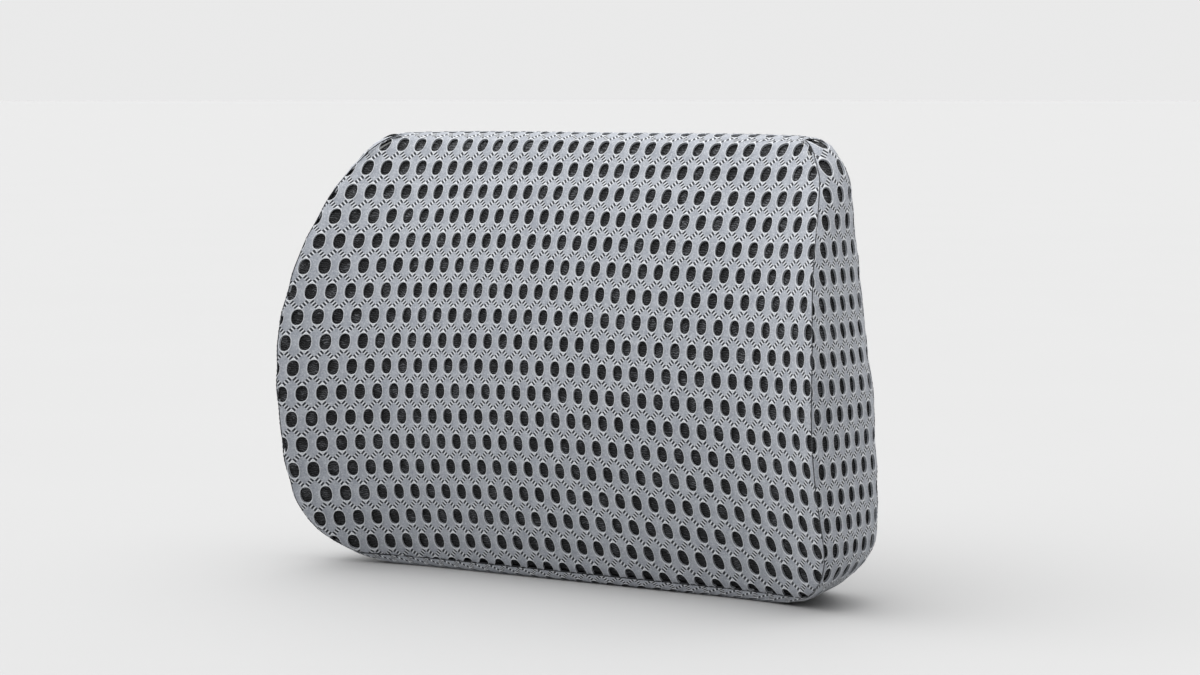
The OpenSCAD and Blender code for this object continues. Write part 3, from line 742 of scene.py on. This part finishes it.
def tape(name, low, high):
    """One half of the zipper's cloth, between two heights on the back."""
    s = surfaces["back"]
    u, z = np.meshgrid(np.linspace(-TAPE_END, TAPE_END, TAPE_LONG), np.linspace(low, high, TAPE_WIDE),
                       indexing="ij")
    points = s.at(u, z, TAPE_DEPTH)
    k = np.arange(TAPE_LONG * TAPE_WIDE).reshape(TAPE_LONG, TAPE_WIDE)
    faces = np.stack([k[:-1, 1:], k[1:, 1:], k[1:, :-1], k[:-1, :-1]], -1).reshape(-1, 4)
    obj = add_object(name, points.reshape(-1, 3), faces,
                     np.stack([points[..., 0].ravel(), points[..., 2].ravel()], 1))
    solid = obj.modifiers.new("thickness", "SOLIDIFY")
    solid.thickness, solid.offset = 0.5 * MM, 0
    return obj


tapes = [body_piece(tape("zipper_cloth_upper", ZIP_Z + 0.5, ZIP_Z + 5.6), "zipper_tape_upper"),
         body_piece(tape("zipper_cloth_lower", ZIP_Z - 5.6, ZIP_Z - 0.5), "zipper_tape_lower")]

# --- elastic strap ---
STRAP_Z, STRAP_W, STRAP_T = 106.0, 38.0, 1.2
STRAP_GAP = 0.5
RIB, RIB_PITCH, PICK = 0.09, 2.1, 0.9
STRAP_INSET = 19.0  # the strap is sewn on this far in from the side seam
LIFT = STRAP_GAP + STRAP_T / 2
BAR_X, BAR_Y, BAR_R = 36.0, 4.6, 2.0
LOOP_R = BAR_R + 0.3 + STRAP_T / 2
ADJ_X, ADJ_Y, ADJ_R = 96.0, 2.9, 1.1
ADJ_LOOP = ADJ_R + 0.15 + STRAP_T / 2


def sewn_run(z):
    """From the sewn end up the curve of the back, to where it is flat."""
    edge = back_x(z) - STRAP_INSET
    start, end = edge - 1.5, FLAT_X - 6
    xs = start + (end - start) * np.arange(9) / 8
    y = back_base(xs, z)
    slope = np.sqrt(1 + (y - back_base(xs - 1, z)) ** 2
                    + (back_base(xs, z + 0.5) - back_base(xs, z - 0.5)) ** 2)
    run = np.stack([xs, y + LIFT * slope], 1)
    tuck = [edge - 0.3, float(back_base(edge, z)) - 1.0]
    return [tuck] + run.tolist()


def arc(cx, cy, r, a0, a1, n):
    return [(cx + r * math.cos(math.radians(a0 + (a1 - a0) * i / n)),
             BACK + cy + r * math.sin(math.radians(a0 + (a1 - a0) * i / n))) for i in range(n + 1)]


def raised(points, x0=0.0):
    return [(x0 + x, BACK + y) for x, y in points]


def left_run(z):
    return (sewn_run(z) + raised([(100, 1.1), (66, 1.1), (48, 1.1), (42, 1.3)])
            + arc(BAR_X, BAR_Y, LOOP_R, 270, 90, 8) + raised([(40, 6.6), (44, 3.6), (48, 2.6), (62, 2.6)]))


def outer_run(z):
    """From the sewn end to the top of the adjuster's middle bar."""
    return sewn_run(z) + raised([(16, 1.1), (12, 1.1), (8.5, 1.9), (5.5, 3.9), (3, 5.6), (0, 6.2)], ADJ_X)


def inner_run(z):
    """On from there, round the socket's bar and back to the adjuster's middle bar."""
    return (raised([(0, 6.2), (-3, 5.6), (-5.5, 4.2), (-7.5, 3.2), (-9.5, 2.9), (-12, 2.9)], ADJ_X)
            + raised([(60, 2.9), (46, 2.9), (43, 3.8), (40, 6.2)]) + arc(BAR_X, BAR_Y, LOOP_R, 90, 270, 8)
            + raised([(42, 1.3), (60, 1.3)]) + raised([(-12, 1.3), (-4, 1.2)], ADJ_X)
            + arc(ADJ_X, ADJ_Y, ADJ_LOOP, 270, 510, 10))


def webbing(name, run, side):
    """Ribbed webbing along a run: closed, with rounded selvedges."""
    across = np.linspace(-1, 1, 61)
    paths = []
    for w in across:
        path = np.array([(side * x, y, 0.0) for x, y in run(STRAP_Z + w * STRAP_W / 2)])
        length = np.concatenate([[0], np.cumsum(np.linalg.norm(np.diff(path, axis=0), axis=1))])
        if w == across[0]:
            count = int(length[-1] / 1.3)
        at = np.linspace(0, length[-1], count)
        fine = np.stack([np.interp(at, length, path[:, k]) for k in range(2)], 1)
        pad = np.concatenate([fine[:1], fine, fine[-1:]])
        fine = (pad[:-2] + 2 * pad[1:-1] + pad[2:]) / 4
        paths.append(np.column_stack([fine, np.full(count, STRAP_Z + w * STRAP_W / 2)]))
    paths = np.array(paths)
    t = np.gradient(paths, axis=1)
    normal = np.stack([-t[..., 1], t[..., 0], 0 * t[..., 0]], -1) * -side
    normal /= np.maximum(np.linalg.norm(normal, axis=-1, keepdims=True), 1e-9)
    half = STRAP_T / 2 * np.sqrt(np.clip(1.02 - np.abs(across) ** 14, 0.1, 1))
    ribs = RIB * np.cos(across * STRAP_W / 2 * 2 * math.pi / RIB_PITCH)
    outer = paths + normal * (half + ribs)[:, None, None]
    inner = paths - normal * (half + ribs)[:, None, None]
    na, nb = paths.shape[:2]
    k = np.arange(na * nb).reshape(na, nb)
    far = k + na * nb

    def quad(g):
        return np.stack([g[:-1, :-1], g[1:, :-1], g[1:, 1:], g[:-1, 1:]], -1).reshape(-1, 4)

    rim = np.concatenate([k[:, 0], k[-1, 1:], k[-2::-1, -1], k[0, -2:0:-1]])
    faces = quad(k).tolist() + quad(far)[:, ::-1].tolist()
    faces += [[int(rim[i - 1]), int(rim[i - 1] + na * nb), int(rim[i] + na * nb), int(rim[i])]
              for i in range(len(rim))]
    along = np.cumsum(np.linalg.norm(np.diff(paths, axis=1, prepend=paths[:, :1]), axis=-1), axis=1)
    uv = np.stack([along.ravel(), paths[..., 2].ravel()], 1)
    obj = add_object(name, np.concatenate([outer.reshape(-1, 3), inner.reshape(-1, 3)]), faces,
                     np.concatenate([uv, uv]))
    mesh = bmesh.new()
    mesh.from_mesh(obj.data)
    bmesh.ops.recalc_face_normals(mesh, faces=mesh.faces)
    mesh.to_mesh(obj.data)
    mesh.free()
    return obj


strap_left = webbing("strap_webbing_left", left_run, -1)
strap_outer = webbing("strap_webbing_outer", outer_run, 1)
strap_inner = webbing("strap_webbing_inner", inner_run, 1)
for obj, node in ((strap_left, "strap_left"), (strap_outer, "strap_right"), (strap_inner, "strap_right")):
    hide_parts(node)
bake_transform(strap_left)
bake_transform(strap_outer)
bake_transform(strap_inner)

tacks = Soup()
for side in (-1, 1):
    for z in np.arange(-16, 17, 4.0):
        at_x = float(back_x(STRAP_Z + z)) - STRAP_INSET - 5
        y = float(back_base(at_x, STRAP_Z + z)) + LIFT + STRAP_T / 2 + 0.15
        tacks.stitches([(side * at_x, y, STRAP_Z + z - 2), (side * at_x, y, STRAP_Z + z + 2)], 2.0, 1.7, 0.3)
tack_obj = tacks.build("strap_tack_stitches")
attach(tack_obj, "cushion")
loop_tacks = Soup()
for x in (-55.0, -58.0):
    loop_tacks.stitches([(x, BACK + 3.3, STRAP_Z - 16), (x, BACK + 3.3, STRAP_Z + 16)], 2.6, 2.1, 0.3)
loop_obj = loop_tacks.build("strap_loop_stitches")
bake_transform(loop_obj)

# --- hard pieces keep their CAD shape, with softened edges ---
HARD = {"buckle_socket": 0.7, "buckle_plug": 0.7, "buckle_prong_upper": 0.35, "buckle_prong_lower": 0.35,
        "strap_adjuster": 0.5, "zipper_slider": 0.15, "zipper_pull": 0.2, "zipper_stops": 0.2,
        "zipper_teeth_upper": 0.12, "zipper_teeth_lower": 0.12}
for node, width in HARD.items():
    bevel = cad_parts[node].modifiers.new("edges", "BEVEL")
    bevel.width = width * MM
    bevel.segments = 2
    bevel.limit_method = "ANGLE"
    bevel.angle_limit = math.radians(35)
    bevel.use_clamp_overlap = True
    bevel.harden_normals = True

# --- floor, backdrop and light ---
FLOOR_RADIUS = 60


def floor_disc():
    """A wide floor whose far edge meets a background of the same tone."""
    bpy.ops.mesh.primitive_circle_add(vertices=96, radius=FLOOR_RADIUS, fill_type="NGON")
    obj = bpy.context.object
    obj.name = "floor"
    return obj


floor = floor_disc()


def sun(name, azimuth, elevation, strength, softness):
    """A sun whose light comes from an azimuth round the object, 0 from the front."""
    data = bpy.data.lights.new(name, "SUN")
    data.energy = strength
    data.angle = math.radians(softness)
    obj = bpy.data.objects.new(name, data)
    a, e = math.radians(azimuth), math.radians(elevation)
    towards = Vector((math.sin(a) * math.cos(e), -math.cos(a) * math.cos(e), math.sin(e)))
    obj.rotation_euler = towards.to_track_quat("Z", "Y").to_euler()
    bpy.context.collection.objects.link(obj)


BACKGROUND, DIM_SIDE, OVERHEAD = 0.82, 0.30, 1.4
DIM_AZIMUTH = math.radians(55)
sun("key", -38, 56, 1.25, 80)


class Nodes:
    """A material or world, with small helpers to write its maths as expressions."""

    def __init__(self, name, kind=bpy.data.materials):
        self.block = kind.new(name)
        self.block.use_nodes = True
        self.tree = self.block.node_tree

    def add(self, kind, **values):
        node = self.tree.nodes.new(kind)
        for key, value in values.items():
            setattr(node, key, value)
        return node

    def put(self, socket, value):
        if hasattr(value, "is_output"):
            self.tree.links.new(value, socket)
        else:
            socket.default_value = value

    def math(self, op, *args):
        node = self.add("ShaderNodeMath", operation=op)
        for socket, value in zip(node.inputs, args):
            self.put(socket, value)
        return node.outputs[0]

    def times(self, a, b):
        return self.math("MULTIPLY", a, b)

    def plus(self, a, b):
        return self.math("ADD", a, b)

    def minus(self, a, b):
        return self.math("SUBTRACT", a, b)

    def turns(self, distance, pitch):
        """A distance as an angle that goes round once in each pitch."""
        return self.times(distance, 2 * math.pi / pitch)

    def ramp(self, value, low, high, to_low=0.0, to_high=1.0):
        node = self.add("ShaderNodeMapRange", interpolation_type="SMOOTHSTEP")
        for socket, v in zip(node.inputs, (value, low, high, to_low, to_high)):
            self.put(socket, v)
        return node.outputs[0]

    def mix(self, factor, a, b):
        node = self.add("ShaderNodeMix", data_type="RGBA")
        self.put(node.inputs["Factor"], factor)
        self.put(node.inputs["A"], a)
        self.put(node.inputs["B"], b)
        return node.outputs["Result"]

    def coords(self, uv=True):
        """The fabric's own coordinates, or the object's: the vector, then its parts."""
        if uv:
            out = self.add("ShaderNodeUVMap", uv_map="fabric").outputs["UV"]
        else:
            out = self.add("ShaderNodeTexCoord").outputs["Object"]
        split = self.add("ShaderNodeSeparateXYZ")
        self.tree.links.new(out, split.inputs[0])
        return out, split.outputs[0], split.outputs[1], split.outputs[2]

    def noise(self, vector, scale, detail, rough=0.5):
        node = self.add("ShaderNodeTexNoise")
        self.put(node.inputs["Vector"], vector)
        node.inputs["Scale"].default_value = scale
        node.inputs["Detail"].default_value = detail
        node.inputs["Roughness"].default_value = rough
        return node.outputs["Fac"]

    def bump(self, height, strength, distance):
        node = self.add("ShaderNodeBump")
        self.put(node.inputs["Height"], height)
        node.inputs["Strength"].default_value = strength
        node.inputs["Distance"].default_value = distance
        return node.outputs["Normal"]

    def finish(self, colour, rough, normal=None, sheen=0.0, specular=0.5, metallic=0.0):
        s = self.tree.nodes["Principled BSDF"].inputs
        self.put(s["Base Color"], colour)
        self.put(s["Roughness"], rough)
        s["Specular IOR Level"].default_value = specular
        s["Metallic"].default_value = metallic
        if sheen:
            s["Sheen Weight"].default_value = sheen
            s["Sheen Roughness"].default_value = 0.5
        if normal is not None:
            self.put(s["Normal"], normal)
        return self.block


def studio_world():
    """Even behind the object, dimmer in front on the right, and a soft light overhead."""
    w = Nodes("world", bpy.data.worlds)
    where = w.add("ShaderNodeTexCoord").outputs["Generated"]

    def towards(*direction):
        node = w.add("ShaderNodeVectorMath", operation="DOT_PRODUCT")
        w.put(node.inputs[0], where)
        w.put(node.inputs[1], direction)
        return node.outputs["Value"]

    side = towards(math.sin(DIM_AZIMUTH), -math.cos(DIM_AZIMUTH), 0)
    background = w.tree.nodes["Background"].inputs
    w.put(background["Strength"], w.plus(w.ramp(side, 0.0, 0.7, BACKGROUND, DIM_SIDE),
                                         w.ramp(towards(0, 0, 1), 0.45, 0.85, 0.0, OVERHEAD)))
    w.put(background["Color"], (1, 1, 1, 1))
    bpy.context.scene.world = w.block


studio_world()
bpy.context.scene.view_settings.view_transform = "Standard"

# --- materials ---
# Pitches of the knit and colours of the mesh, from the painted highlight on its hole rims and ribs to the
# painted shade in its slits and on its hole walls
COURSE, WALE = 0.62, 0.8
PAINTED_HIGHLIGHT, FLUFF = (0.72, 0.74, 0.76, 1), (0.60, 0.62, 0.65, 1)
YARN_LIGHT, YARN_DARK = (0.365, 0.384, 0.420, 1), (0.290, 0.308, 0.345, 1)
KNIT_SHADE, FLUFF_SHADE = (0.24, 0.26, 0.30, 1), (0.20, 0.215, 0.25, 1)
HOLE_WALL_SHADE, SLIT_SHADE = (0.035, 0.038, 0.046, 1), (0.012, 0.014, 0.02, 1)


def mesh_face_material():
    """Knitted face of the spacer mesh: fine courses, and slits in lines from hole to hole; the hole rims and
    the ribs between slits carry a painted highlight, the slits and hole walls painted shade.
    """
    m = Nodes("mesh_face")
    _, c, r, _ = m.coords()
    vec = m.coords(uv=False)[0]
    row = m.math("ROUND", r)
    odd = m.math("MODULO", m.math("ABSOLUTE", row), 2.0)
    shifted = m.math("DIVIDE", m.minus(c, odd), 2.0)
    cx = m.times(m.minus(shifted, m.math("ROUND", shifted)), 2 * HALF_PITCH)
    cy = m.times(m.minus(r, row), ROW_PITCH)
    ax, ay = m.math("ABSOLUTE", cx), m.math("ABSOLUTE", cy)
    # distance across and along the line from this hole's tip towards the next row's hole
    gap = ROW_PITCH - 2 * HOLE_B
    run = math.hypot(HALF_PITCH, gap)
    dx, dy = HALF_PITCH / run, gap / run
    py = m.minus(ay, HOLE_B)
    along = m.plus(m.times(ax, dx), m.times(py, dy))
    across = m.math("ABSOLUTE", m.minus(m.times(ax, dy), m.times(py, dx)))
    near_line = m.minus(1.0, m.ramp(across, SLIT_HALF - 0.1, SLIT_HALF + 0.15))
    on_line = m.times(near_line, m.ramp(along, 0.5, 0.9))
    phase = m.turns(m.minus(along, run / 2), run / SLITS)
    wave = m.math("COSINE", phase)
    # painted shade: the slits are coloured near-black where the gaps in the knit lie
    slit = m.times(on_line, m.ramp(wave, -0.3, 0.0))
    # the ribs between the slits are coloured with the painted highlight
    rib = m.times(on_line, m.minus(1.0, m.ramp(wave, -0.6, -0.25)))
    # painted highlight: a bright edge round each hole
    e = m.math("POWER", m.plus(m.math("POWER", m.math("DIVIDE", ax, HOLE_A), SQUARE),
                               m.math("POWER", m.math("DIVIDE", ay, HOLE_B), SQUARE)), 1 / SQUARE)
    rim = m.times(m.ramp(e, 0.97, 1.02), m.minus(1.0, m.ramp(e, 1.08, 1.15)))
    # painted shade: the walls inside each hole are coloured near-black
    wall_shade = m.minus(1.0, m.ramp(e, 0.93, 1.0))
    # fine knit: courses across and wales along
    course = m.math("SINE", m.turns(cy, COURSE))
    wale = m.math("SINE", m.plus(m.turns(cx, WALE), m.times(course, 0.8)))
    knit = m.times(course, wale)
    fuzz = m.noise(vec, 900.0, 3.0, 0.65)
    mottled = m.noise(vec, 130.0, 3.0, 0.6)
    base = m.mix(m.ramp(mottled, 0.3, 0.7), YARN_DARK, YARN_LIGHT)
    base = m.mix(m.times(m.ramp(knit, 0.1, 0.8), 0.45), base, KNIT_SHADE)
    base = m.mix(m.times(m.ramp(fuzz, 0.53, 0.66), 0.5), base, FLUFF)
    base = m.mix(m.times(m.ramp(fuzz, 0.47, 0.34), 0.5), base, FLUFF_SHADE)
    # painted highlight on the ribs and hole rims, painted shade in the slits and on the hole walls
    base = m.mix(m.times(rib, 0.75), base, PAINTED_HIGHLIGHT)
    base = m.mix(m.times(rim, 0.6), base, PAINTED_HIGHLIGHT)
    base = m.mix(m.times(slit, 0.97), base, SLIT_SHADE)
    base = m.mix(m.times(wall_shade, 0.95), base, HOLE_WALL_SHADE)
    height = m.plus(m.times(knit, 0.10), m.times(fuzz, 0.25))
    height = m.plus(height, m.times(rib, 0.5))
    height = m.minus(height, m.times(slit, 1.0))
    return m.finish(base, 0.85, m.bump(height, 0.6, 0.0004), sheen=0.25, specular=0.3)


YARN, CROSS_YARN = 1.45, 1.1


def backing_material():
    """Back face of the mesh, painted dark as shade, with the spacer yarns that cross each hole."""
    m = Nodes("mesh_backing")
    vec, u, v, _ = m.coords()
    wobble = m.noise(vec, 0.35, 2.0)
    yarn = m.math("SINE", m.plus(m.turns(v, YARN), m.plus(m.times(wobble, 16.0), m.times(u, 0.35))))
    cross = m.math("SINE", m.turns(u, CROSS_YARN))
    grain = m.noise(vec, 2.2, 3.0, 0.7)
    light = m.times(m.ramp(yarn, 0.35, 0.95), m.ramp(grain, 0.3, 0.6))
    patch = m.ramp(m.noise(vec, 0.11, 1.0), 0.5, 0.62)
    light = m.times(light, m.plus(0.30, m.times(patch, 0.70)))
    # painted shade: near-black between the light spacer yarns, seen through the holes
    colour = m.mix(light, (0.0035, 0.004, 0.005, 1), (0.27, 0.28, 0.30, 1))
    colour = m.mix(m.times(patch, 0.25), colour, (0.09, 0.095, 0.105, 1))
    colour = m.mix(m.times(m.ramp(cross, 0.7, 1.0), 0.25), colour, (0.06, 0.065, 0.07, 1))
    height = m.plus(yarn, m.times(cross, 0.4))
    return m.finish(colour, 0.6, m.bump(height, 0.8, 0.0006), specular=0.4)


def stage_material():
    m = Nodes("stage")
    vec = m.coords(uv=False)[0]
    grain = m.noise(vec, 3.0, 4.0)
    return m.finish(m.mix(grain, (0.447, 0.447, 0.447, 1), (0.457, 0.457, 0.457, 1)), 0.7, specular=0.2)


def webbing_material():
    m = Nodes("webbing")
    vec, u, v, _ = m.coords()
    rib = m.math("SINE", m.turns(v, RIB_PITCH))
    pick = m.math("SINE", m.plus(m.turns(u, PICK), m.times(m.ramp(rib, -0.2, 0.2), math.pi)))
    grain = m.noise(vec, 3.0, 3.0, 0.7)
    colour = m.mix(m.times(m.ramp(pick, -0.4, 0.8), m.ramp(grain, 0.25, 0.7)),
                   (0.018, 0.020, 0.023, 1), (0.075, 0.08, 0.09, 1))
    height = m.plus(m.times(pick, 0.5), m.times(grain, 0.3))
    return m.finish(colour, 0.75, m.bump(height, 0.7, 0.0003), sheen=0.2, specular=0.35)


def cloth_material(name, dark, light, pitch):
    """Plain weave in object space."""
    m = Nodes(name)
    vec, x, _, z = m.coords(uv=False)
    warp = m.math("SINE", m.turns(x, pitch))
    weft = m.math("SINE", m.turns(z, pitch))
    weave = m.times(warp, weft)
    grain = m.noise(vec, 600.0, 3.0, 0.6)
    colour = m.mix(m.times(m.ramp(weave, -0.3, 0.6), m.ramp(grain, 0.2, 0.7)), dark, light)
    return m.finish(colour, 0.85, m.bump(m.plus(weave, grain), 0.5, 0.0002), sheen=0.15, specular=0.3)


def foam_material():
    m = Nodes("foam")
    vec = m.coords(uv=False)[0]
    cells = m.add("ShaderNodeTexVoronoi", feature="F1")
    m.put(cells.inputs["Vector"], vec)
    cells.inputs["Scale"].default_value = 900.0
    # painted shade: each foam cell is darker towards its middle, where the bump sinks it into a pit
    colour = m.mix(m.ramp(cells.outputs["Distance"], 0.1, 0.7), (0.62, 0.53, 0.34, 1), (0.80, 0.73, 0.54, 1))
    return m.finish(colour, 0.9, m.bump(cells.outputs["Distance"], 0.6, 0.0008), specular=0.25)


def moulded_material(name, dark, light, rough):
    """Moulded plastic with a fine spark-eroded grain and slight handling marks."""
    m = Nodes(name)
    vec = m.coords(uv=False)[0]
    grain = m.noise(vec, 2600.0, 2.0, 0.5)
    broad = m.noise(vec, 60.0, 3.0, 0.6)
    colour = m.mix(broad, dark, light)
    roughness = m.plus(rough, m.times(broad, 0.18))
    return m.finish(colour, roughness, m.bump(grain, 0.25, 0.0001), specular=0.45)


def metal_material():
    m = Nodes("zipper_metal")
    vec = m.coords(uv=False)[0]
    worn = m.noise(vec, 900.0, 4.0, 0.6)
    colour = m.mix(m.ramp(worn, 0.55, 0.8), (0.05, 0.053, 0.058, 1), (0.14, 0.145, 0.15, 1))
    return m.finish(colour, m.plus(0.28, m.times(worn, 0.2)),
                    m.bump(worn, 0.15, 0.0001), metallic=0.85)


face_mat, backing_mat = mesh_face_material(), backing_material()
thread_mat = cloth_material("thread", (0.02, 0.022, 0.026, 1), (0.075, 0.08, 0.09, 1), 0.0006)
tape_mat = cloth_material("tape_cloth", (0.03, 0.033, 0.038, 1), (0.085, 0.09, 0.10, 1), 0.0009)
liner_mat = cloth_material("liner_cloth", (0.66, 0.66, 0.64, 1), (0.84, 0.84, 0.82, 1), 0.0012)
web_mat, foam_mat, metal_mat = webbing_material(), foam_material(), metal_material()
plastic_mat = moulded_material("buckle_plastic", (0.014, 0.014, 0.016, 1), (0.026, 0.026, 0.029, 1), 0.33)
teeth_mat = moulded_material("zipper_plastic", (0.02, 0.021, 0.024, 1), (0.045, 0.047, 0.052, 1), 0.4)


def paint(obj, material):
    obj.data.materials.clear()
    obj.data.materials.append(material)


for obj in seams + [tack_obj, loop_obj]:
    paint(obj, thread_mat)
for obj in tapes:
    paint(obj, tape_mat)
for obj in (liner_front, liner_back):
    paint(obj, liner_mat)
for obj in (strap_left, strap_outer, strap_inner):
    paint(obj, web_mat)
paint(foam, foam_mat)
# the first name that a hard node starts with decides its material
HARD_MATERIAL = {"buckle": plastic_mat, "strap": plastic_mat, "zipper_teeth": teeth_mat, "zipper": metal_mat}
for node in HARD:
    material = next(m for key, m in HARD_MATERIAL.items() if node.startswith(key))
    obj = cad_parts[node]
    for slot in obj.material_slots:
        slot.link = "DATA"
        slot.material = material
    if not obj.material_slots:
        obj.data.materials.append(material)
for obj in cover.values():
    paint(obj, face_mat)
for obj in backing:
    paint(obj, backing_mat)
floor.data.materials.append(stage_material())
